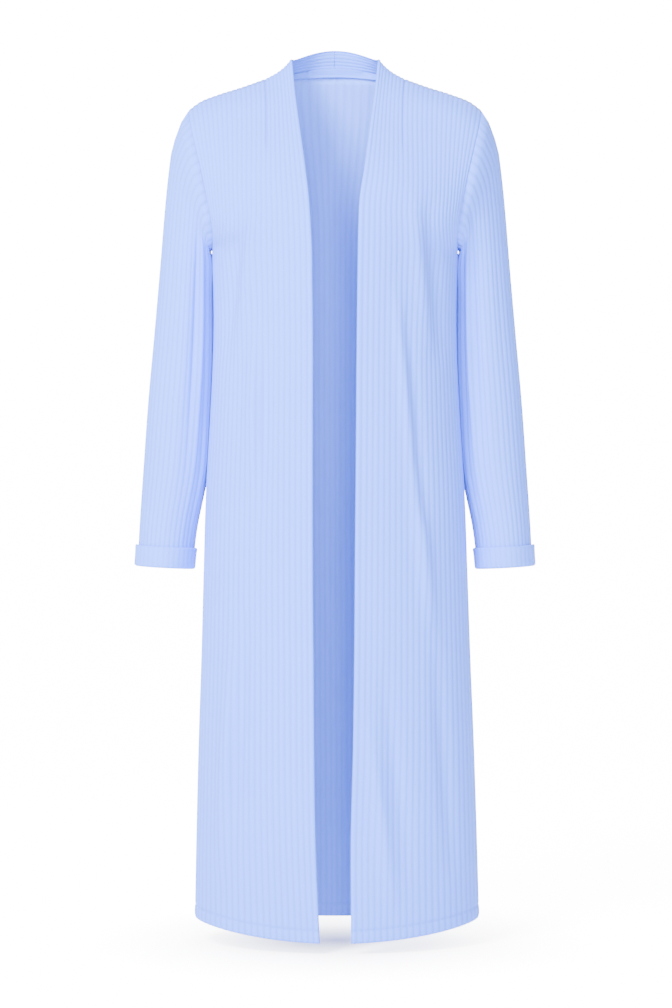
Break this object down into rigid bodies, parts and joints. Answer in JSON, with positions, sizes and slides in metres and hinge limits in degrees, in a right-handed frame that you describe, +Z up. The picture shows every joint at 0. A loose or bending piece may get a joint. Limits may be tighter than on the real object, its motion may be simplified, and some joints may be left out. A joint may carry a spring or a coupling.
{
  "type": "open-front cardigan",
  "caption": "Long open-front cardigan in wide-rib jersey with a cut-on stand collar, set-in long sleeves, turned-up cuffs and a turned hem, held in its worn shape.",
  "frame": {"origin": "midway between the two shoulder points, where the shoulder seams meet the collar", "axes": "+Z up along the wearer's body, -Y out of the open front, +X towards the wearer's left"},
  "size_m": [0.5224, 0.2388, 1.152],
  "materials": {
    "cloth": "matt wide-rib jersey, pale blue",
    "cloth_inside": "matt wide-rib jersey, pale blue, seen from inside"
  },
  "bodies": {
    "root": {"back": "cloth_inside", "front_left": "cloth", "front_right": "cloth", "sleeve_left": "cloth", "sleeve_right": "cloth", "cuff_left": "cloth", "cuff_right": "cloth", "neck_tape": "cloth"}
  },
  "joints": []
}
